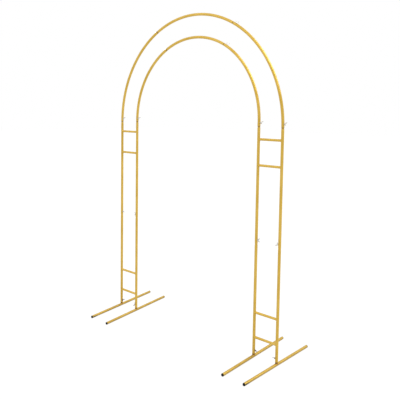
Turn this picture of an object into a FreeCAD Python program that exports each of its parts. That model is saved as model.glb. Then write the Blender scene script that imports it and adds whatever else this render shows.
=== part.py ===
import FreeCAD, Part
import math
import os
from collections import namedtuple

# A free-standing double arch of thin gold tube, for weddings and gardens.
# Millimetres, +Z up, +X to the right across the arch, +Y to the back.
# The origin lies on the ground, midway between the legs, in the plane of the arches.

# Places of the tubes, measured to their centre lines
inner_half_width = 573.0
leg_spacing = 177.0
mid_seam_height = 750.0
spring_seam_height = 1490.5
inner_seam_rise = 4.0
outer_arch_tail = 1.0
inner_arch_tail = 22.5
outer_arch_lean = 0.0
inner_arch_lean = 1.3
crown_half_angle = 28.0
springing_angle = 90.0
low_rung_height = 136.0
second_rung_height = 299.0
third_rung_drop = 239.5
top_rung_drop = 75.5

# Tubes
tube_diameter = 19.0
tube_wall = 1.0
rung_diameter = 16.0
rung_wall = 1.0

# Slip joints: the narrowed neck of one tube stands in the open end of the next.
# The arches' joints aren't pushed home, so a gap shows there above or beside the shoulder.
neck_clearance = 0.55
neck_length = 31.0
taper_length = 12.0
arch_joint_gap = 2.5
screw_offset = 23.0

# Feet: tubes on the ground, with a short spigot for the leg and a plug in each end
foot_front_reach = 337.0
foot_back_reach = 363.0
left_foot_angle = 8.5
right_inner_foot_angle = 2.6
right_outer_foot_angle = 0.0
weld_height = 5.5
weld_width = 0.9
plug_head = 3.0
plug_insert = 12.0
plug_clearance = 0.2
plug_edge = 1.0

# Wing screws
shank_diameter = 6.0
shank_past_neck = 3.0
hole_clearance = 0.3
thread_clearance = 0.05
seat_gap = 0.2
hub_diameter = 10.0
hub_top_diameter = 8.0
hub_height = 7.0
wing_span = 26.0
wing_height = 17.0
wing_thickness = 1.8
wing_root_radius = 2.3
wing_tip_radius = 3.4

# Sizes that follow from the ones above
outer_half_width = inner_half_width + leg_spacing
inner_seam_height = spring_seam_height + inner_seam_rise
outer_arc_height = spring_seam_height + arch_joint_gap + outer_arch_tail
inner_arc_height = inner_seam_height + arch_joint_gap + inner_arch_tail
tube_radius = tube_diameter / 2
bore_radius = tube_radius - tube_wall
neck_radius = bore_radius - neck_clearance
leg_foot_height = tube_diameter + weld_height
hole_radius = shank_diameter / 2 + hole_clearance
thread_radius = shank_diameter / 2 + thread_clearance

Vector = FreeCAD.Vector
UP = Vector(0, 0, 1)
ACROSS = Vector(1, 0, 0)
BACK = Vector(0, 1, 0)

# In an arch, seam is the height of the legs' shoulders and height that of the arc's centre
Arch = namedtuple("Arch", "name radius seam height lean")
Screw = namedtuple("Screw", "node centre direction turn sleeve neck")

ARCHES = {
    "outer": Arch("outer", outer_half_width, spring_seam_height, outer_arc_height, outer_arch_lean),
    "inner": Arch("inner", inner_half_width, inner_seam_height, inner_arc_height, inner_arch_lean),
}
SIDES = {"left": -1, "right": 1}
RUNG_HEIGHTS = {
    "lower_low": low_rung_height,
    "lower_high": second_rung_height,
    "upper_low": spring_seam_height - third_rung_drop,
    "upper_high": spring_seam_height - top_rung_drop,
}

# How far each foot stands turned under its leg, in degrees, anticlockwise from above
FOOT_ANGLES = {
    "left_outer": left_foot_angle,
    "left_inner": left_foot_angle,
    "right_inner": right_inner_foot_angle,
    "right_outer": right_outer_foot_angle,
}

# The angle at which the wings of each screw came to a stop, in degrees
WING_TURNS = {
    "outer": {"foot": 114.0, "mid": 53.0, "spring": 135.0, "crown": 20.0},
    "inner": {"foot": 40.0, "mid": 0.0, "spring": 128.0, "crown": 75.0},
}


def swaged_rod(length, inset):
    """Upright rod whose top narrows to the neck, with every radius less by inset."""
    wide = tube_radius - inset
    narrow = neck_radius - inset
    body = Part.makeCylinder(wide, length - taper_length)
    taper = Part.makeCone(wide, narrow, taper_length, Vector(0, 0, length - taper_length))
    neck = Part.makeCylinder(narrow, neck_length, Vector(0, 0, length))
    return body.fuse([taper, neck])


def leg(x, bottom, top):
    """One straight leg tube, its shoulder at top and its neck standing above that."""
    length = top - bottom
    tube = swaged_rod(length, 0).cut(swaged_rod(length, tube_wall))
    tube.translate(Vector(x, 0, bottom))
    return tube


def leaning(arch):
    """Placement that leans an arch back, as it rocks on the middle of its springing necks."""
    pivot = Vector(0, 0, arch.seam + (arch_joint_gap + neck_length) / 2)
    return FreeCAD.Placement(Vector(), FreeCAD.Rotation(ACROSS, -arch.lean), pivot)


def along_arc(arch, length):
    """Angle that a length takes up on the arch's centre line, in degrees."""
    return math.degrees(length / arch.radius)


def ring(arch, angle, radius):
    """Circle square to the arch's centre line, at an angle from its top towards +X."""
    circle = Part.makeCircle(radius, Vector(0, 0, arch.height + arch.radius), ACROSS)
    wire = Part.Wire(circle)
    wire.rotate(Vector(0, 0, arch.height), BACK, angle)
    return wire


def bent_rod(arch, start, end, radius):
    """Round rod along the arch's centre line, from one angle to a larger one."""
    disc = Part.Face(ring(arch, start, radius))
    return disc.revolve(Vector(0, 0, arch.height), BACK, end - start)


def side_rod(arch, side, radius):
    """Rod of a side segment: a straight tail over the leg and the bend up to the crown joint."""
    crown_end = crown_half_angle + along_arc(arch, arch_joint_gap)
    start, end = sorted((side * crown_end, side * springing_angle))
    bend = bent_rod(arch, start, end, radius)
    tail_base = Vector(side * arch.radius, 0, arch.seam + arch_joint_gap)
    tail = Part.makeCylinder(radius, arch.height - tail_base.z, tail_base)
    return bend.fuse(tail)


def arch_side(arch, side):
    """One side segment, open at both ends to take the necks."""
    segment = side_rod(arch, side, tube_radius).cut(side_rod(arch, side, bore_radius))
    segment.Placement = leaning(arch)
    return segment


def crown_rod(arch, inset):
    """Rod of the crown segment, which narrows to a neck at both ends."""
    wide = tube_radius - inset
    narrow = neck_radius - inset
    neck_end = crown_half_angle + along_arc(arch, neck_length)
    taper_start = crown_half_angle - along_arc(arch, taper_length)
    pieces = [
        bent_rod(arch, -neck_end, -crown_half_angle, narrow),
        bent_rod(arch, crown_half_angle, neck_end, narrow),
    ]
    for side in SIDES.values():
        wires = [ring(arch, side * taper_start, wide), ring(arch, side * crown_half_angle, narrow)]
        pieces.append(Part.makeLoft(wires, True, True))
    return bent_rod(arch, -taper_start, taper_start, wide).fuse(pieces)


def arch_crown(arch):
    segment = crown_rod(arch, 0).cut(crown_rod(arch, tube_wall))
    segment.Placement = leaning(arch)
    return segment


def rung(x_from, x_to, height):
    """Cross tube between two legs, its ends coped to the legs' round sides."""
    start = Vector(x_from, 0, height)
    length = x_to - x_from
    tube = Part.makeCylinder(rung_diameter / 2, length, start, ACROSS)
    bore = Part.makeCylinder(rung_diameter / 2 - rung_wall, length, start, ACROSS)
    legs = []
    for x in (x_from, x_to):
        base = Vector(x, 0, height - tube_diameter)
        legs.append(Part.makeCylinder(tube_radius, 2 * tube_diameter, base))
    return tube.cut([bore] + legs)


def on_foot(shape, name, x):
    """Turn a piece that is built round the origin with its foot, and move it to its leg."""
    shape.rotate(Vector(0, 0, 0), UP, FOOT_ANGLES[name])
    shape.translate(Vector(x, 0, 0))
    return shape


def foot_rod(radius):
    front = foot_front_reach - plug_head
    back = foot_back_reach - plug_head
    return Part.makeCylinder(radius, front + back, Vector(0, -front, tube_radius), BACK)


def foot_tube():
    return foot_rod(tube_radius).cut(foot_rod(bore_radius))


def foot_spigot():
    """Short upright tube and its weld, both coped to the top of the foot tube."""
    base = Vector(0, 0, tube_radius)
    weld = Part.makeCylinder(neck_radius + weld_width, leg_foot_height - tube_radius, base)
    height = leg_foot_height + neck_length - tube_radius
    stub = Part.makeCylinder(neck_radius, height, base)
    bore = Part.makeCylinder(neck_radius - tube_wall, height, base)
    return stub.fuse(weld).cut([bore, foot_rod(tube_radius)])


def end_plug(direction, reach):
    """Plug with a round-edged head against the tube's end and an insert in its bore."""
    head = Part.makeCylinder(tube_radius, plug_head)
    rim = [edge for edge in head.Edges if edge.BoundBox.ZMin > plug_head / 2]
    head = head.makeFillet(plug_edge, rim)
    insert = Part.makeCylinder(bore_radius - plug_clearance, plug_insert, Vector(0, 0, -plug_insert))
    plug = head.fuse(insert)
    end = direction * (reach - plug_head) + UP * tube_radius
    plug.Placement = FreeCAD.Placement(end, FreeCAD.Rotation(UP, direction))
    return plug


def polar(angle, length):
    return Vector(math.cos(angle), 0, math.sin(angle)) * length


def wing(base):
    """One flat wing with a round root beside the hub and a wider round tip."""
    root = Vector(hub_top_diameter / 2, 0, base + wing_root_radius)
    tip = Vector(wing_span / 2 - wing_tip_radius, 0, base + wing_height - wing_tip_radius)
    along = math.atan2(tip.z - root.z, tip.x - root.x)
    spread = math.acos((wing_root_radius - wing_tip_radius) / root.distanceToPoint(tip))
    root_up = root + polar(along + spread, wing_root_radius)
    root_back = root - polar(along, wing_root_radius)
    root_down = root + polar(along - spread, wing_root_radius)
    tip_up = tip + polar(along + spread, wing_tip_radius)
    tip_front = tip + polar(along, wing_tip_radius)
    tip_down = tip + polar(along - spread, wing_tip_radius)
    edges = [
        Part.makeLine(root_up, tip_up),
        Part.Arc(tip_up, tip_front, tip_down).toShape(),
        Part.makeLine(tip_down, root_down),
        Part.Arc(root_down, root_back, root_up).toShape(),
    ]
    outline = Part.Face(Part.Wire(edges))
    outline.translate(BACK * (-wing_thickness / 2))
    return outline.extrude(BACK * wing_thickness)


def wing_screw(centre, direction, turn):
    """Screw through both tube walls, with its hub just outside the tube."""
    base = tube_radius + seat_gap
    tip = neck_radius - tube_wall - shank_past_neck
    shank = Part.makeCylinder(shank_diameter / 2, base - tip, Vector(0, 0, tip))
    hub = Part.makeCone(hub_diameter / 2, hub_top_diameter / 2, hub_height, Vector(0, 0, base))
    right_wing = wing(base)
    left_wing = right_wing.mirror(Vector(0, 0, 0), ACROSS)
    screw = hub.fuse([shank, right_wing, left_wing])
    rotation = FreeCAD.Rotation(UP, direction).multiply(FreeCAD.Rotation(UP, turn))
    screw.Placement = FreeCAD.Placement(centre, rotation)
    return screw


def arc_place(arch, side, angle, drop):
    """Point of an arch's centre line and the way out from there, with a drop for its tail."""
    turn = math.radians(angle)
    outward = Vector(side * math.sin(turn), 0, math.cos(turn))
    point = Vector(0, 0, arch.height - drop) + outward * arch.radius
    lean = leaning(arch)
    return lean.multVec(point), lean.Rotation.multVec(outward)


def arch_screws(side_name, arch):
    """Screws of one side segment: at the springing and beside the crown seam."""
    side = SIDES[side_name]
    turns = WING_TURNS[arch.name]
    screw_distance = arch_joint_gap + screw_offset
    rise = arch.seam + screw_distance - arch.height
    spring_angle = springing_angle - along_arc(arch, max(rise, 0))
    spring, spring_out = arc_place(arch, side, spring_angle, max(-rise, 0))
    crown_angle = crown_half_angle + along_arc(arch, screw_distance)
    crown, crown_out = arc_place(arch, side, crown_angle, 0)
    to_the_right = spring_out * side
    segment = f"{arch.name}_arch_{side_name}"
    upper_leg = f"{side_name}_{arch.name}_upper_leg"
    crown_segment = f"{arch.name}_arch_crown"
    return [
        Screw(f"{side_name}_spring_wing_screws", spring, to_the_right, turns["spring"], segment, upper_leg),
        Screw(f"{side_name}_crown_wing_screws", crown, crown_out, turns["crown"], segment, crown_segment),
    ]


def leg_screws(side_name, arch):
    """Screws of one leg: over the foot and above the middle seam, on the side of the rungs."""
    side = SIDES[side_name]
    turns = WING_TURNS[arch.name]
    direction = ACROSS * (-side if arch.name == "outer" else side)
    x = side * arch.radius
    low = Vector(x, 0, leg_foot_height + screw_offset)
    mid = Vector(x, 0, mid_seam_height + screw_offset)
    spigot = f"{side_name}_{arch.name}_foot_spigot"
    lower_leg = f"{side_name}_{arch.name}_lower_leg"
    upper_leg = f"{side_name}_{arch.name}_upper_leg"
    return [
        Screw(f"{side_name}_foot_wing_screws", low, direction, turns["foot"], lower_leg, spigot),
        Screw(f"{side_name}_mid_wing_screws", mid, direction, turns["mid"], upper_leg, lower_leg),
    ]


def drill(shape, screw, radius):
    """Cut a screw's hole through one wall of a tube."""
    return shape.cut(Part.makeCylinder(radius, tube_diameter, screw.centre, screw.direction))


def build_leg(side_name, arch):
    """The foot, its fittings and both leg tubes under one end of an arch."""
    name = f"{side_name}_{arch.name}"
    x = SIDES[side_name] * arch.radius
    plugs = Part.makeCompound([end_plug(BACK, foot_back_reach), end_plug(-BACK, foot_front_reach)])
    return {
        f"{name}_foot": on_foot(foot_tube(), name, x),
        f"{name}_foot_plugs": on_foot(plugs, name, x),
        f"{name}_foot_spigot": on_foot(foot_spigot(), name, x),
        f"{name}_lower_leg": leg(x, leg_foot_height, mid_seam_height),
        f"{name}_upper_leg": leg(x, mid_seam_height, arch.seam),
    }


def build_rungs(side_name):
    """The four rungs between the two legs of one side."""
    x_from, x_to = sorted(SIDES[side_name] * arch.radius for arch in ARCHES.values())
    return {
        f"{side_name}_{place}_rung": rung(x_from, x_to, height)
        for place, height in RUNG_HEIGHTS.items()
    }


def build_arch(arch):
    nodes = {f"{arch.name}_arch_{name}": arch_side(arch, side) for name, side in SIDES.items()}
    nodes[f"{arch.name}_arch_crown"] = arch_crown(arch)
    return nodes


def add_screws(nodes):
    """Drill every joint and put its wing screw in."""
    screws = []
    for side_name in SIDES:
        for arch in ARCHES.values():
            screws += leg_screws(side_name, arch) + arch_screws(side_name, arch)
    groups = {}
    for screw in screws:
        nodes[screw.sleeve] = drill(nodes[screw.sleeve], screw, hole_radius)
        nodes[screw.neck] = drill(nodes[screw.neck], screw, thread_radius)
        solid = wing_screw(screw.centre, screw.direction, screw.turn)
        groups.setdefault(screw.node, []).append(solid)
    for name, solids in groups.items():
        nodes[name] = Part.makeCompound(solids)


def build_all():
    nodes = {}
    for side_name in SIDES:
        for arch in ARCHES.values():
            nodes.update(build_leg(side_name, arch))
        nodes.update(build_rungs(side_name))
    for arch in ARCHES.values():
        nodes.update(build_arch(arch))
    add_screws(nodes)
    return nodes


os.makedirs("parts", exist_ok=True)
for node_name, node_shape in build_all().items():
    node_shape.exportStep(f"parts/{node_name}.step")
    print(node_name, len(node_shape.Solids), node_shape.isValid(), round(node_shape.Volume))
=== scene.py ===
import math

import bmesh
import bpy
from mathutils import Matrix, Vector


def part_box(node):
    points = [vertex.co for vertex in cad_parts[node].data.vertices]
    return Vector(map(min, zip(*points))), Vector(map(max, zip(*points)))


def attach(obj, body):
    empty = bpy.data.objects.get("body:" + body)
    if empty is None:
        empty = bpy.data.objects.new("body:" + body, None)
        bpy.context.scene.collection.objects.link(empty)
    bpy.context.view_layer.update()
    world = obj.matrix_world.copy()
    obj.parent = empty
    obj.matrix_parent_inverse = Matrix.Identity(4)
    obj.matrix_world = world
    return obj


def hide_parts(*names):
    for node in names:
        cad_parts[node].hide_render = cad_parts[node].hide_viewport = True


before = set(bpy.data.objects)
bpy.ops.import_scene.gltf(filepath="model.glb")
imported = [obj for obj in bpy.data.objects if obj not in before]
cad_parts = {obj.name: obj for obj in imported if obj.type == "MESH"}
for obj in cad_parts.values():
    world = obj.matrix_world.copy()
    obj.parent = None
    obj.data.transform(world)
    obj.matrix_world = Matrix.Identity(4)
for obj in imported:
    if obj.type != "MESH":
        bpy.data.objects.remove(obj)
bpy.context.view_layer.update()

# The finish of a free-standing double arch of thin gold tube. Metres, +Z up, in the same frame as
# the solids: the origin lies on the ground, midway between the legs, in the plane of the arches.

# Sizes of the solids that the finish is fitted to
MILLIMETRE = 0.001
TUBE_RADIUS = 0.0095
RUNG_RADIUS = 0.008
NECK_LENGTH = 0.031
JOINT_GAP = 0.0025
SCREW_OFFSET = 0.023
CROWN_HALF_ANGLE = math.radians(28.0)
SPRINGING_ANGLE = math.radians(90.0)
ARCH_TAILS = {"outer": 0.001, "inner": 0.0225}
ARCH_LEANS = {"outer": 0.0, "inner": math.radians(1.3)}
FOOT_TURNS = {
    "left_outer": math.radians(8.5),
    "left_inner": math.radians(8.5),
    "right_inner": math.radians(2.6),
    "right_outer": 0.0,
}
FOOT_FRONT = 0.337
COLLAR_RADIUS = 0.00885

UP = Vector((0, 0, 1))
ACROSS = Vector((1, 0, 0))
SIDES = {"left": -1, "right": 1}
RUNG_PLACES = ("lower_low", "lower_high", "upper_low", "upper_high")


def middle(node):
    """Middle of a node's box."""
    low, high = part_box(node)
    return (low + high) / 2


# Places read from the solids
MID_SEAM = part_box("right_outer_upper_leg")[0].z
LEG_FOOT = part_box("right_outer_lower_leg")[0].z
RADII = {arch: middle(f"right_{arch}_upper_leg").x for arch in ARCH_TAILS}
SHOULDERS = {arch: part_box(f"right_{arch}_upper_leg")[1].z - NECK_LENGTH for arch in ARCH_TAILS}
ARC_CENTRES = {arch: SHOULDERS[arch] + JOINT_GAP + tail for arch, tail in ARCH_TAILS.items()}


def leaning(arch):
    """Turn of an arch that leans back on the middle of its springing necks."""
    pivot = UP * (SHOULDERS[arch] + (JOINT_GAP + NECK_LENGTH) / 2)
    turn = Matrix.Rotation(-ARCH_LEANS[arch], 4, "X")
    return Matrix.Translation(pivot) @ turn @ Matrix.Translation(-pivot)


def arc_place(arch, side, angle, drop=0.0):
    """Point of an arch's centre line and the way out from there, with a drop for its tail."""
    outward = Vector((side * math.sin(angle), 0, math.cos(angle)))
    point = UP * (ARC_CENTRES[arch] - drop) + outward * RADII[arch]
    lean = leaning(arch)
    return lean @ point, lean.to_3x3() @ outward


def open_seams():
    """Middle of each open seam on the right side: under a leg, at an arch's foot and at its crown."""
    points = []
    for arch in RADII:
        points.append(UP * (LEG_FOOT + MILLIMETRE) + ACROSS * RADII[arch])
        points.append(UP * (SHOULDERS[arch] + JOINT_GAP / 2) + ACROSS * RADII[arch])
        points.append(arc_place(arch, 1, CROWN_HALF_ANGLE + JOINT_GAP / 2 / RADII[arch])[0])
    return points


def outer_foot_ends():
    """Middle of the front end of each outer foot."""
    points = []
    for side_name, side in SIDES.items():
        turn = FOOT_TURNS[f"{side_name}_outer"]
        front = Vector((math.sin(turn), -math.cos(turn), 0)) * FOOT_FRONT
        points.append(ACROSS * (side * RADII["outer"]) + front + UP * TUBE_RADIUS)
    return points


# Camera, as fitted to the photograph: a 400 pixel frame with its optical axis above the middle
FRAME_PIXELS = 400
AXIS_PIXEL_Y = 150
FOCAL_PIXELS = 535.03
SENSOR_WIDTH = 36.0
CAMERA_AZIMUTH = math.radians(41.8786)
CAMERA_ELEVATION = math.radians(4.3718)
CAMERA_ROLL = math.radians(0.8745)
CAMERA_DISTANCE = 3.698
CAMERA_TARGET = Vector((0.0795, 0, 1.3164))

# Lighting
WORLD_LIGHT = 0.55
KEY_STRENGTH = 2.3
KEY_ANGLE = math.radians(40.0)
KEY_AZIMUTH = math.radians(118.0)
KEY_ELEVATION = math.radians(52.0)
FILL_STRENGTH = 0.5
FILL_ANGLE = math.radians(60.0)
FILL_AZIMUTH = math.radians(-35.0)
FILL_ELEVATION = math.radians(35.0)
FLOOR_SIZE = 60.0
FLOOR_GREY = 0.85
FLOOR_ROUGHNESS = 0.9
FLOOR_GLOW_SHARE = 0.82
FLOOR_GLOW = 1.06

# Sockets of a mix node, by number, since its colour sockets share their names with others
MIX_FACTOR = 0
MIX_FIRST_COLOUR = 6
MIX_SECOND_COLOUR = 7
MIX_COLOUR_RESULT = 2


class Shader:
    """A node material that is built up by name, with its principled shader ready."""

    def __init__(self, name):
        self.material = bpy.data.materials.new(name)
        self.material.use_nodes = True
        self.nodes = self.material.node_tree.nodes
        self.links = self.material.node_tree.links
        self.principled = self.nodes["Principled BSDF"]
        self.place = self.nodes.new("ShaderNodeTexCoord").outputs["Object"]

    def set(self, **values):
        """Give sockets of the principled shader a plain value."""
        for socket, value in values.items():
            self.principled.inputs[socket.replace("_", " ")].default_value = value

    def node(self, kind, inputs, **settings):
        """New node with its settings, and with each input linked to a socket or set to a value."""
        made = self.nodes.new(kind)
        for name, value in settings.items():
            setattr(made, name, value)
        for socket, value in inputs.items():
            if isinstance(value, bpy.types.NodeSocket):
                self.links.new(value, made.inputs[socket])
            else:
                made.inputs[socket].default_value = value
        return made

    def stretched(self, scale):
        """Object coordinates, scaled along each axis."""
        return self.node("ShaderNodeMapping", {"Vector": self.place, "Scale": scale}).outputs["Vector"]

    def mirrored(self):
        """Object coordinates, with the left half and the back folded over onto the right front."""
        return self.node("ShaderNodeVectorMath", {0: self.place}, operation="ABSOLUTE").outputs["Vector"]

    def height(self):
        """Height above the ground."""
        return self.node("ShaderNodeSeparateXYZ", {"Vector": self.place}).outputs["Z"]

    def noise(self, scale, detail=2.0, roughness=0.5, place=None):
        """Noise whose scale is about its number of waves in a metre."""
        inputs = {"Vector": place or self.place, "Scale": scale, "Detail": detail, "Roughness": roughness}
        return self.node("ShaderNodeTexNoise", inputs).outputs["Fac"]

    def maths(self, operation, first, second):
        """Result of one step of arithmetic."""
        return self.node("ShaderNodeMath", {0: first, 1: second}, operation=operation).outputs[0]

    def ramp(self, fac, low, high, low_value, high_value):
        """Map fac from low..high to low_value..high_value, held at both ends."""
        inputs = {
            "Value": fac, "From Min": low, "From Max": high, "To Min": low_value, "To Max": high_value,
        }
        return self.node("ShaderNodeMapRange", inputs).outputs["Result"]

    def rise(self, fac, low, high, full=1.0):
        """0 where fac is at or below low, rising to full at high."""
        return self.ramp(fac, low, high, 0.0, full)

    def fall(self, fac, low, high, full=1.0):
        """Full where fac is at or below low, falling to 0 at high."""
        return self.ramp(fac, low, high, full, 0.0)

    def bands(self, place, points, near, far):
        """1 where the place is nearer than near to one of the points, falling to 0 at far."""
        total = None
        for point in points:
            apart = self.node("ShaderNodeVectorMath", {0: place, 1: point}, operation="DISTANCE")
            band = self.fall(apart.outputs["Value"], near, far)
            total = self.maths("MAXIMUM", total, band) if total else band
        return total

    def mix(self, fac, first, second):
        """The first colour, with a share of fac of the second."""
        inputs = {MIX_FACTOR: fac, MIX_FIRST_COLOUR: first, MIX_SECOND_COLOUR: second}
        return self.node("ShaderNodeMix", inputs, data_type="RGBA").outputs[MIX_COLOUR_RESULT]

    def bump(self, height, strength, distance, normal=None):
        """Normal of a relief, laid over another relief's normal where there is one."""
        inputs = {"Height": height, "Strength": strength, "Distance": distance}
        if normal:
            inputs["Normal"] = normal
        return self.node("ShaderNodeBump", inputs).outputs["Normal"]

    def finish(self, **sockets):
        """Link the made sockets to the principled shader and hand over the material."""
        for name, value in sockets.items():
            self.links.new(value, self.principled.inputs[name.replace("_", " ")])
        return self.material


def rgb(red, green, blue):
    """Shader colour from the 0 to 255 values that a picture shows."""
    def linear(value):
        share = value / 255
        return share / 12.92 if share <= 0.04045 else ((share + 0.055) / 1.055) ** 2.4
    return (linear(red), linear(green), linear(blue), 1.0)


# Noise values between which nearly all of a noise lies, and narrower ones that part two tones
NOISE_SPAN = (0.3, 0.7)
TONE_SPAN = (0.35, 0.65)

# Gold lacquer: its tones, its gloss and its relief
GOLD = rgb(203, 166, 63)
PALE_GOLD = rgb(216, 180, 81)
RUBBED_GOLD = rgb(228, 202, 111)
RUB_STRETCH = (1.0, 1.0, 0.08)
RUB_MARKS = (0.6, 0.72)
RUB_SHARE = 0.35
LACQUER_IOR = 1.5
LACQUER_METALLIC = 0.55
LACQUER_ROUGHNESS = (0.3, 0.4)
RUB_DULLING = (0.4, 0.7)
RUB_ROUGHNESS = 0.08
LACQUER_RELIEF = 0.0002
PEEL_STRENGTH = 0.25
RUB_STRENGTH = 0.15

# Painted shade on the feet, full on their underside and thinner towards their top
FOOT_SHADE = rgb(140, 112, 50)
FOOT_SHADE_FULL = 0.004
FOOT_SHADE_TOP = 0.018
FOOT_SHADE_SHARES = (0.95, 0.3)
FOOT_BLOTCHES = (0.3, 0.6)
FOOT_BLOTCH_SHARES = (0.7, 1.0)

# Painted shade round the open seams, whose bands are cut out by spheres a little larger than the tube
SEAM_SHADE = rgb(138, 102, 44)
SEAM_NEAR = 0.0099
SEAM_FAR = 0.0107
SEAM_BLOTCHES = (0.3, 0.55)
SEAM_SHADE_SHARES = (0.4, 0.72)

# Painted shade, dark, on the underside of each outer foot behind its front plug, with a ragged upper edge
END_SHADE = rgb(60, 51, 12)
END_NEAR = 0.03
END_FAR = 0.06
END_SHADE_FULL = 0.0105
END_SHADE_TOP = 0.0145
END_RAGGED = 0.0018
END_SHADE_SHARE = 0.95
END_SHADE_ROUGHNESS = 0.9

# Brown weld, with painted shade, black, in the seam on its top, as depths below the leg's foot
WELD_BROWN = rgb(150, 104, 44)
WELD_GOLD = rgb(190, 142, 66)
CREVICE_SHADE_BLACK = rgb(58, 42, 18)
CREVICE_SHADE_START = 0.004
CREVICE_SHADE_FULL = 0.002
WELD_METALLIC = 0.4
WELD_ROUGHNESS = (0.45, 0.65)
WELD_STRENGTH = 0.6
WELD_RELIEF = 0.0006

# Black plastic and the dust on it
BLACK = rgb(5, 5, 5)
DUST = rgb(26, 25, 23)
DUST_PATCHES = (0.52, 0.75)
DUST_SHARE = 0.35
DUST_DULLING = (0.35, 0.7)
PLASTIC_IOR = 1.46
PLASTIC_SPECULAR = 0.2
PLASTIC_ROUGHNESS = (0.42, 0.6)
GRAIN_STRENGTH = 0.3
PLASTIC_RELIEF = 0.0002

# Zinc: its dark and light tone in each of its states, and its pores; the darker state is painted shade
# and the brightest a painted reflection of the light from above
ZINC_TONES = {
    "zinc": (rgb(170, 169, 166), rgb(209, 208, 204)),
    # Painted shade: the zinc of the screws near the ground
    "shaded_zinc": (rgb(92, 80, 82), rgb(132, 119, 120)),
    # Painted reflection of the light from above: the zinc of the screws at the crown
    "lit_zinc": (rgb(224, 224, 222), rgb(245, 245, 243)),
}
PORE = rgb(110, 108, 106)
PORE_MARKS = (0.6, 0.75)
PORE_SHARE = 0.5
ZINC_ROUGHNESS = (0.26, 0.42)
PORE_STRENGTH = 0.35
ZINC_RELIEF = 0.0003


def foot_shade(shader, patches):
    """Share of painted shade on the feet, blotched by the patches, and none higher than the legs' feet.
    """
    height = shader.height()
    by_height = shader.ramp(height, FOOT_SHADE_FULL, FOOT_SHADE_TOP, *FOOT_SHADE_SHARES)
    blotches = shader.ramp(patches, *FOOT_BLOTCHES, *FOOT_BLOTCH_SHARES)
    blotched = shader.maths("MULTIPLY", by_height, blotches)
    return shader.maths("MULTIPLY", blotched, shader.fall(height, FOOT_SHADE_TOP, LEG_FOOT))


def seam_shade(shader, patches):
    """Share of painted shade in the bands round the open seams."""
    seams = shader.bands(shader.mirrored(), open_seams(), SEAM_NEAR, SEAM_FAR)
    share = shader.ramp(patches, *SEAM_BLOTCHES, *SEAM_SHADE_SHARES)
    return shader.maths("MULTIPLY", seams, share)


def end_shade(shader, patches):
    """Share of painted shade behind the outer feet's front plugs."""
    ends = shader.bands(shader.place, outer_foot_ends(), END_NEAR, END_FAR)
    ragged = shader.ramp(patches, *TONE_SPAN, -END_RAGGED, END_RAGGED)
    edge = shader.maths("ADD", shader.height(), ragged)
    share = shader.fall(edge, END_SHADE_FULL, END_SHADE_TOP, END_SHADE_SHARE)
    return shader.maths("MULTIPLY", ends, share)


def gold_lacquer():
    """Satin gold lacquer on steel tube: cloudy, rubbed along the tubes, and grimy in places."""
    shader = Shader("gold_lacquer")
    shader.set(IOR=LACQUER_IOR)
    clouds = shader.noise(scale=9.0, detail=4.0)
    rubs = shader.noise(scale=60.0, detail=6.0, roughness=0.7, place=shader.stretched(RUB_STRETCH))
    patches = shader.noise(scale=120.0, detail=4.0, roughness=0.6)
    # Painted shade behind the outer feet's plugs: dark, rough and not metallic
    dark = end_shade(shader, patches)

    tone = shader.mix(shader.rise(clouds, *TONE_SPAN), GOLD, PALE_GOLD)
    worn = shader.mix(shader.rise(rubs, *RUB_MARKS, RUB_SHARE), tone, RUBBED_GOLD)
    # Painted shade on the feet, darker towards their underside, in blotches
    foot_shaded = shader.mix(foot_shade(shader, patches), worn, FOOT_SHADE)
    # Painted shade, dark, on the underside behind the outer feet's plugs
    darkened = shader.mix(dark, foot_shaded, END_SHADE)
    # Painted shade in blotched bands round the open seams
    colour = shader.mix(seam_shade(shader, patches), darkened, SEAM_SHADE)

    satin = shader.ramp(clouds, *NOISE_SPAN, *LACQUER_ROUGHNESS)
    rubbed = shader.maths("ADD", satin, shader.rise(rubs, *RUB_DULLING, RUB_ROUGHNESS))
    roughness = shader.maths("MAXIMUM", rubbed, shader.rise(dark, 0.0, 1.0, END_SHADE_ROUGHNESS))
    metallic = shader.fall(dark, 0.0, 1.0, LACQUER_METALLIC)

    peel = shader.bump(shader.noise(scale=650.0, detail=1.0), PEEL_STRENGTH, LACQUER_RELIEF)
    relief = shader.bump(rubs, RUB_STRENGTH, LACQUER_RELIEF, peel)
    return shader.finish(Base_Color=colour, Metallic=metallic, Roughness=roughness, Normal=relief)


def brown_weld():
    """Weld between a foot and its spigot: lacquered over, brown, and black with painted shade in the seam
    on top under the leg's foot.
    """
    shader = Shader("brown_weld")
    shader.set(Metallic=WELD_METALLIC, IOR=LACQUER_IOR)
    spatter = shader.noise(scale=260.0, detail=4.0, roughness=0.65)
    browned = shader.mix(shader.rise(spatter, *TONE_SPAN), WELD_BROWN, WELD_GOLD)
    # Painted shade, black, in the seam just under the leg's foot
    in_crevice_shade = shader.rise(shader.height(), LEG_FOOT - CREVICE_SHADE_START, LEG_FOOT - CREVICE_SHADE_FULL)
    colour = shader.mix(in_crevice_shade, browned, CREVICE_SHADE_BLACK)
    roughness = shader.ramp(spatter, *NOISE_SPAN, *WELD_ROUGHNESS)
    relief = shader.bump(spatter, WELD_STRENGTH, WELD_RELIEF)
    return shader.finish(Base_Color=colour, Roughness=roughness, Normal=relief)


def black_plastic():
    """Moulded black plastic with a fine grain and a little dust."""
    shader = Shader("black_plastic")
    shader.set(IOR=PLASTIC_IOR, Specular_IOR_Level=PLASTIC_SPECULAR)
    grain = shader.noise(scale=900.0)
    dust = shader.noise(scale=45.0, detail=5.0, roughness=0.65)
    colour = shader.mix(shader.rise(dust, *DUST_PATCHES, DUST_SHARE), BLACK, DUST)
    roughness = shader.ramp(dust, *DUST_DULLING, *PLASTIC_ROUGHNESS)
    relief = shader.bump(grain, GRAIN_STRENGTH, PLASTIC_RELIEF)
    return shader.finish(Base_Color=colour, Roughness=roughness, Normal=relief)


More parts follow.
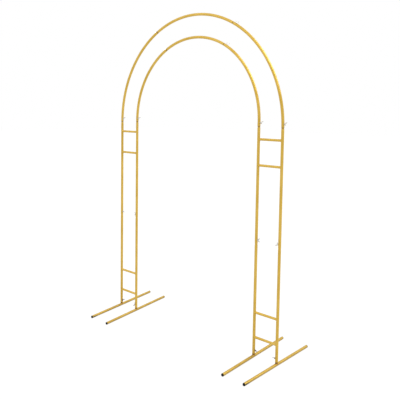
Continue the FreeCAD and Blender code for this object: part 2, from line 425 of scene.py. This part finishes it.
def zinc_plate(name, dark, light):
    """Zinc on die-cast metal between two tones, slightly milky, with darker pores."""
    shader = Shader(name)
    shader.set(Metallic=1.0)
    milk = shader.noise(scale=180.0, detail=4.0)
    pores = shader.noise(scale=1400.0, detail=3.0, roughness=0.7)
    base = shader.mix(shader.rise(milk, *TONE_SPAN), dark, light)
    colour = shader.mix(shader.rise(pores, *PORE_MARKS, PORE_SHARE), base, PORE)
    roughness = shader.ramp(milk, *NOISE_SPAN, *ZINC_ROUGHNESS)
    relief = shader.bump(pores, PORE_STRENGTH, ZINC_RELIEF)
    return shader.finish(Base_Color=colour, Roughness=roughness, Normal=relief)


def dress(piece, material):
    """Give a piece its one material, and the slot that this material fills."""
    piece.data.materials.clear()
    piece.data.materials.append(material)


def add_piece(name, mesh_maker, material):
    """New object at the origin, from a bmesh that is already in place."""
    mesh = bpy.data.meshes.new(name)
    mesh_maker.to_mesh(mesh)
    mesh_maker.free()
    mesh.polygons.foreach_set("use_smooth", [True] * len(mesh.polygons))
    piece = bpy.data.objects.new(name, mesh)
    bpy.context.scene.collection.objects.link(piece)
    dress(piece, material)
    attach(piece, "root")
    return piece


# Welds, in metres

BEAD_RADIUS = 0.0013
BEAD_STEPS = 120
BEAD_SIDES = 10
BEAD_RIPPLES = 26
BEAD_RIPPLE_DEPTH = 0.0002
BEAD_DRIFTS = 2
BEAD_DRIFT_START = 1.0


def weld_bead(maker, points):
    """Bead along a closed loop of points, in a bmesh."""
    count = len(points)
    centre = sum(points, Vector()) / count
    rings = []
    for index, point in enumerate(points):
        along = (points[(index + 1) % count] - points[index - 1]).normalized()
        out = point - centre
        out = (out - along * out.dot(along)).normalized()
        side = along.cross(out)
        radius = bead_radius(index / count)
        ring = []
        for corner in range(BEAD_SIDES):
            angle = math.tau * corner / BEAD_SIDES
            spoke = out * math.cos(angle) + side * math.sin(angle)
            ring.append(maker.verts.new(point + spoke * radius))
        rings.append(ring)
    for index, ring in enumerate(rings):
        following = rings[(index + 1) % count]
        for corner in range(BEAD_SIDES):
            after = (corner + 1) % BEAD_SIDES
            maker.faces.new((ring[corner], ring[after], following[after], following[corner]))


def bead_radius(share):
    """Radius of a weld bead along its loop: ripples over a slow unevenness."""
    ripple = BEAD_RIPPLE_DEPTH * math.cos(math.tau * BEAD_RIPPLES * share)
    drift = BEAD_RIPPLE_DEPTH * math.sin(math.tau * BEAD_DRIFTS * share + BEAD_DRIFT_START)
    return BEAD_RADIUS + ripple + drift


def saddle(tube_centre, tube_axis, branch_axis, branch_radius):
    """Loop where a branch tube meets the round side of a crossing tube."""
    third = tube_axis.cross(branch_axis)
    points = []
    for step in range(BEAD_STEPS):
        angle = math.tau * step / BEAD_STEPS
        sideways = branch_radius * math.sin(angle)
        reach = math.sqrt(TUBE_RADIUS ** 2 - sideways ** 2)
        points.append(tube_centre + branch_axis * reach + third * sideways
                      + tube_axis * (branch_radius * math.cos(angle)))
    return points


def rung_welds(side_name, place, material):
    """The weld bead round each end of one rung."""
    rung = f"{side_name}_{place}_rung"
    maker = bmesh.new()
    for arch, facing in (("outer", -1), ("inner", 1)):
        leg = Vector((SIDES[side_name] * RADII[arch], 0, middle(rung).z))
        branch = ACROSS * (facing * SIDES[side_name])
        weld_bead(maker, saddle(leg, UP, branch, RUNG_RADIUS))
    add_piece(f"{rung}_welds", maker, material)


# Wing screws, in millimetres, with the axis on Z and the wings along X

SCREW_VOXEL = 0.35
SCREW_SMOOTHINGS = 6
SCREW_SMOOTHING = 0.6
SCREW_KEPT_SHARE = 0.35
SHANK_RADIUS = 3.0
SHANK_TIP = 3.95
SHANK_TIP_EDGE = 0.6
SHANK_IN_HUB = 1.0
HUB_BASE = 9.7
HUB_RADIUS = 5.0
HUB_TOP_RADIUS = 4.0
HUB_TOP = 16.7
HUB_RIM_HEIGHT = 1.2
HUB_TOP_EDGE = 1.0
HUB_TOP_RISE = 0.4
EAR_ROOT = Vector((4.1, 0, 12.2))
EAR_ROOT_RADIUS = 2.5
EAR_TIP = Vector((9.5, 0, 23.2))
EAR_TIP_RADIUS = 3.4
EAR_ROOT_THICKNESS = 2.8
EAR_TIP_THICKNESS = 1.9
ROUND_STEPS = 48

# Darker zinc near the ground as painted shade, and brighter zinc at the crown as a painted reflection of
# the light from above
SCREW_FINISHES = {"foot": "shaded_zinc", "mid": "zinc", "spring": "zinc", "crown": "lit_zinc"}

# The angle at which the wings of each screw came to a stop, in degrees
WING_TURNS = {
    "outer": {"foot": 114.0, "mid": 53.0, "spring": 135.0, "crown": 20.0},
    "inner": {"foot": 40.0, "mid": 0.0, "spring": 128.0, "crown": 75.0},
}


def lathe(maker, profile):
    """Closed solid of revolution about Z from (radius, height) points that start and end on the axis."""
    rings = []
    for radius, height in profile:
        if radius == 0:
            rings.append([maker.verts.new((0, 0, height))])
            continue
        ring = []
        for step in range(ROUND_STEPS):
            angle = math.tau * step / ROUND_STEPS
            ring.append(maker.verts.new((radius * math.cos(angle), radius * math.sin(angle), height)))
        rings.append(ring)
    for lower, upper in zip(rings, rings[1:]):
        for step in range(ROUND_STEPS):
            after = (step + 1) % ROUND_STEPS
            corners = [lower[step % len(lower)], lower[after % len(lower)],
                       upper[after % len(upper)], upper[step % len(upper)]]
            maker.faces.new(list(dict.fromkeys(corners)))


def ear(maker, side):
    """One ear: a flat lobe that spreads from the hub, thicker at its root."""
    outline = []
    for centre, radius, thickness in (
        (EAR_ROOT, EAR_ROOT_RADIUS, EAR_ROOT_THICKNESS),
        (EAR_TIP, EAR_TIP_RADIUS, EAR_TIP_THICKNESS),
    ):
        for step in range(ROUND_STEPS):
            angle = math.tau * step / ROUND_STEPS
            x = side * (centre.x + radius * math.cos(angle))
            z = centre.z + radius * math.sin(angle)
            outline += [Vector((x, y, z)) for y in (-thickness / 2, thickness / 2)]
    hull = bmesh.new()
    for point in outline:
        hull.verts.new(point)
    bmesh.ops.convex_hull(hull, input=hull.verts)
    loose = [vertex for vertex in hull.verts if not vertex.link_faces]
    bmesh.ops.delete(hull, geom=loose, context="VERTS")
    mesh = bpy.data.meshes.new("ear")
    hull.to_mesh(mesh)
    hull.free()
    maker.from_mesh(mesh)
    bpy.data.meshes.remove(mesh)


def apply_modifiers(mesh, settings):
    """A mesh with modifiers applied, each given as (kind, values)."""
    holder = bpy.data.objects.new("holder", mesh)
    bpy.context.scene.collection.objects.link(holder)
    for kind, values in settings:
        modifier = holder.modifiers.new(kind, kind)
        for name, value in values.items():
            setattr(modifier, name, value)
    bpy.context.view_layer.update()
    evaluated = holder.evaluated_get(bpy.context.evaluated_depsgraph_get())
    made = bpy.data.meshes.new_from_object(evaluated)
    bpy.data.objects.remove(holder)
    bpy.data.meshes.remove(mesh)
    return made


def cast_screw():
    """One wing screw, its edges softened as on a casting."""
    maker = bmesh.new()
    lathe(maker, [
        (0, HUB_BASE),
        (HUB_RADIUS, HUB_BASE),
        (HUB_RADIUS, HUB_BASE + HUB_RIM_HEIGHT),
        (HUB_TOP_RADIUS, HUB_TOP - HUB_TOP_EDGE),
        (HUB_TOP_RADIUS - HUB_TOP_EDGE, HUB_TOP),
        (0, HUB_TOP + HUB_TOP_RISE),
    ])
    lathe(maker, [
        (0, SHANK_TIP),
        (SHANK_RADIUS - SHANK_TIP_EDGE, SHANK_TIP),
        (SHANK_RADIUS, SHANK_TIP + SHANK_TIP_EDGE),
        (SHANK_RADIUS, HUB_BASE + SHANK_IN_HUB),
        (0, HUB_BASE + SHANK_IN_HUB),
    ])
    for side in (1, -1):
        ear(maker, side)
    bmesh.ops.recalc_face_normals(maker, faces=maker.faces)
    mesh = bpy.data.meshes.new("screw")
    maker.to_mesh(mesh)
    maker.free()
    return apply_modifiers(mesh, [
        ("REMESH", {"mode": "VOXEL", "voxel_size": SCREW_VOXEL}),
        ("SMOOTH", {"factor": SCREW_SMOOTHING, "iterations": SCREW_SMOOTHINGS}),
        ("DECIMATE", {"ratio": SCREW_KEPT_SHARE}),
    ])


def screw_places(side_name, arch):
    """Centre and direction of the four screws of one leg, by joint."""
    side = SIDES[side_name]
    leg = ACROSS * (side * RADII[arch])
    to_rungs = ACROSS * (-side if arch == "outer" else side)
    rise = SCREW_OFFSET - ARCH_TAILS[arch]
    spring_angle = SPRINGING_ANGLE - max(rise, 0) / RADII[arch]
    spring, spring_out = arc_place(arch, side, spring_angle, max(-rise, 0))
    crown_angle = CROWN_HALF_ANGLE + (JOINT_GAP + SCREW_OFFSET) / RADII[arch]
    return {
        "foot": (leg + UP * (LEG_FOOT + SCREW_OFFSET), to_rungs),
        "mid": (leg + UP * (MID_SEAM + SCREW_OFFSET), to_rungs),
        "spring": (spring, spring_out * side),
        "crown": arc_place(arch, side, crown_angle),
    }


def spigot_weld(side_name, arch, material):
    """The weld bead round the foot of one spigot."""
    turn = FOOT_TURNS[f"{side_name}_{arch}"]
    foot_axis = Vector((-math.sin(turn), math.cos(turn), 0))
    centre = Vector((SIDES[side_name] * RADII[arch], 0, TUBE_RADIUS))
    maker = bmesh.new()
    weld_bead(maker, saddle(centre, foot_axis, UP, COLLAR_RADIUS))
    add_piece(f"{side_name}_{arch}_foot_weld", maker, material)


def wing_screws(side_name, joint, screw, material):
    """The two screws of one side at one kind of joint."""
    maker = bmesh.new()
    for arch in RADII:
        centre, direction = screw_places(side_name, arch)[joint]
        turn = math.radians(WING_TURNS[arch][joint])
        rotation = UP.rotation_difference(direction).to_matrix() @ Matrix.Rotation(turn, 3, "Z")
        placed = screw.copy()
        placed.transform(Matrix.Translation(centre) @ rotation.to_4x4() @ Matrix.Scale(MILLIMETRE, 4))
        maker.from_mesh(placed)
        bpy.data.meshes.remove(placed)
    node = f"{side_name}_{joint}_wing_screws"
    piece = add_piece(f"{node}_cast", maker, material)
    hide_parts(node)


def dress_solids(materials):
    """Give every solid its finish, also the plain screws that cast ones replace."""
    for name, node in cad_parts.items():
        if name.endswith("plugs"):
            dress(node, materials["plastic"])
        elif name.endswith("spigot"):
            dress(node, materials["weld"])
        elif name.endswith("wing_screws"):
            joint = name.split("_")[1]
            dress(node, materials[SCREW_FINISHES[joint]])
        else:
            dress(node, materials["gold"])


def direction_to(azimuth, elevation):
    """Unit vector from the object towards a place at this azimuth and elevation."""
    flat = math.cos(elevation)
    return Vector((math.sin(azimuth) * flat, -math.cos(azimuth) * flat, math.sin(elevation)))


def add_camera():
    """Camera at the photograph's place, its optical axis above the middle of the frame."""
    back = direction_to(CAMERA_AZIMUTH, CAMERA_ELEVATION)
    right = UP.cross(back).normalized()
    up = back.cross(right)
    turned_right = right * math.cos(CAMERA_ROLL) + up * math.sin(CAMERA_ROLL)
    turned_up = up * math.cos(CAMERA_ROLL) - right * math.sin(CAMERA_ROLL)
    camera = bpy.data.objects.new("camera", bpy.data.cameras.new("camera"))
    camera.data.sensor_width = SENSOR_WIDTH
    camera.data.lens = FOCAL_PIXELS * SENSOR_WIDTH / FRAME_PIXELS
    camera.data.shift_y = (AXIS_PIXEL_Y - FRAME_PIXELS / 2) / FRAME_PIXELS
    place = Matrix((turned_right, turned_up, back)).transposed().to_4x4()
    place.translation = CAMERA_TARGET + back * CAMERA_DISTANCE
    camera.matrix_world = place
    bpy.context.scene.collection.objects.link(camera)
    bpy.context.scene.camera = camera


def add_sun(name, strength, angle, azimuth, elevation):
    """Sun that shines on the object from this azimuth and elevation."""
    data = bpy.data.lights.new(name, "SUN")
    data.energy = strength
    data.angle = angle
    lamp = bpy.data.objects.new(name, data)
    lamp.rotation_euler = direction_to(azimuth, elevation).to_track_quat("Z", "Y").to_euler()
    bpy.context.scene.collection.objects.link(lamp)


def seen_directly(nodes, links):
    """Factor of 1 for rays from the camera, and for those that metal or glass sends on."""
    path = nodes.new("ShaderNodeLightPath")
    total = path.outputs["Is Camera Ray"]
    for name in ("Is Glossy Ray", "Is Transmission Ray"):
        step = nodes.new("ShaderNodeMath")
        step.operation = "MAXIMUM"
        links.new(total, step.inputs[0])
        links.new(path.outputs[name], step.inputs[1])
        total = step.outputs[0]
    return total


def add_world():
    """White where it is seen, and a plain soft light on the object."""
    world = bpy.data.worlds.new("studio")
    world.use_nodes = True
    bpy.context.scene.world = world
    nodes = world.node_tree.nodes
    links = world.node_tree.links
    light = nodes["Background"]
    light.inputs["Color"].default_value = (1, 1, 1, 1)
    light.inputs["Strength"].default_value = WORLD_LIGHT
    white = nodes.new("ShaderNodeBackground")
    white.inputs["Color"].default_value = (1, 1, 1, 1)
    white.inputs["Strength"].default_value = 1.0
    mix = nodes.new("ShaderNodeMixShader")
    links.new(seen_directly(nodes, links), mix.inputs["Fac"])
    links.new(light.outputs[0], mix.inputs[1])
    links.new(white.outputs[0], mix.inputs[2])
    links.new(mix.outputs[0], nodes["World Output"].inputs["Surface"])


def add_floor():
    """Wide pale floor that runs out to the white background and keeps a faint shadow."""
    maker = bmesh.new()
    bmesh.ops.create_grid(maker, x_segments=1, y_segments=1, size=FLOOR_SIZE / 2)
    mesh = bpy.data.meshes.new("floor")
    maker.to_mesh(mesh)
    maker.free()
    floor = bpy.data.objects.new("floor", mesh)
    bpy.context.scene.collection.objects.link(floor)
    material = bpy.data.materials.new("pale_floor")
    material.use_nodes = True
    nodes = material.node_tree.nodes
    links = material.node_tree.links
    diffuse = nodes["Principled BSDF"]
    diffuse.inputs["Base Color"].default_value = (FLOOR_GREY, FLOOR_GREY, FLOOR_GREY, 1)
    diffuse.inputs["Roughness"].default_value = FLOOR_ROUGHNESS
    diffuse.inputs["Specular IOR Level"].default_value = 0.0
    glow = nodes.new("ShaderNodeEmission")
    glow.inputs["Strength"].default_value = FLOOR_GLOW
    share = nodes.new("ShaderNodeMath")
    share.operation = "MULTIPLY"
    share.inputs[1].default_value = FLOOR_GLOW_SHARE
    links.new(seen_directly(nodes, links), share.inputs[0])
    mix = nodes.new("ShaderNodeMixShader")
    links.new(share.outputs[0], mix.inputs["Fac"])
    links.new(diffuse.outputs[0], mix.inputs[1])
    links.new(glow.outputs[0], mix.inputs[2])
    links.new(mix.outputs[0], nodes["Material Output"].inputs["Surface"])
    floor.data.materials.append(material)


def add_pieces(materials):
    """Add the weld beads and the cast screws."""
    screw = cast_screw()
    for side_name in SIDES:
        for place in RUNG_PLACES:
            rung_welds(side_name, place, materials["gold"])
        for arch in RADII:
            spigot_weld(side_name, arch, materials["weld"])
        for joint, finish in SCREW_FINISHES.items():
            wing_screws(side_name, joint, screw, materials[finish])
    bpy.data.meshes.remove(screw)


bpy.context.scene.view_settings.view_transform = "Standard"
add_camera()
add_world()
add_sun("key", KEY_STRENGTH, KEY_ANGLE, KEY_AZIMUTH, KEY_ELEVATION)
add_sun("fill", FILL_STRENGTH, FILL_ANGLE, FILL_AZIMUTH, FILL_ELEVATION)
add_floor()
finishes = {"gold": gold_lacquer(), "weld": brown_weld(), "plastic": black_plastic()}
for finish_name, (dark_tone, light_tone) in ZINC_TONES.items():
    finishes[finish_name] = zinc_plate(f"{finish_name}_plate", dark_tone, light_tone)
dress_solids(finishes)
add_pieces(finishes)
